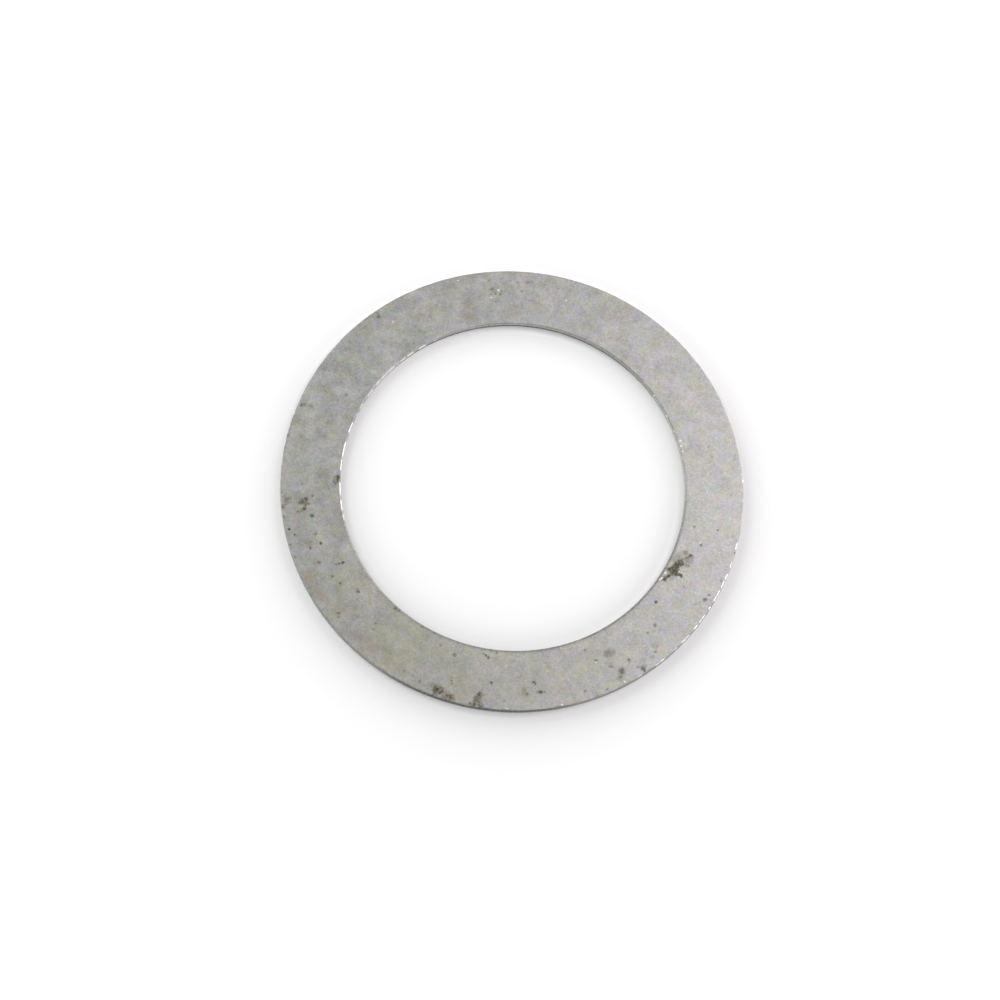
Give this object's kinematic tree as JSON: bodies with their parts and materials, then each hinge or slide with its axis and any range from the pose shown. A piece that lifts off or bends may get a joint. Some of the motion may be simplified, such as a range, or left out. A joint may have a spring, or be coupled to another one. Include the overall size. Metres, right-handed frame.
{
  "type": "shim ring",
  "caption": "Flat thin steel ring that goes over a shaft and takes up end float, with sheared edges.",
  "frame": {"origin": "middle of the bore, on the plane of the lower face that the ring lies on", "axes": "+Z along the bore axis, out of the upper face. +X and +Y lie in the plane of the ring, which is the same all round"},
  "size_m": [0.0298, 0.0298, 0.0005],
  "materials": {
    "shim_steel": "dull cold-rolled strip, tumbled after blanking, with a few rust spots"
  },
  "bodies": {
    "root": {"shim_ring": "shim_steel"}
  },
  "joints": []
}
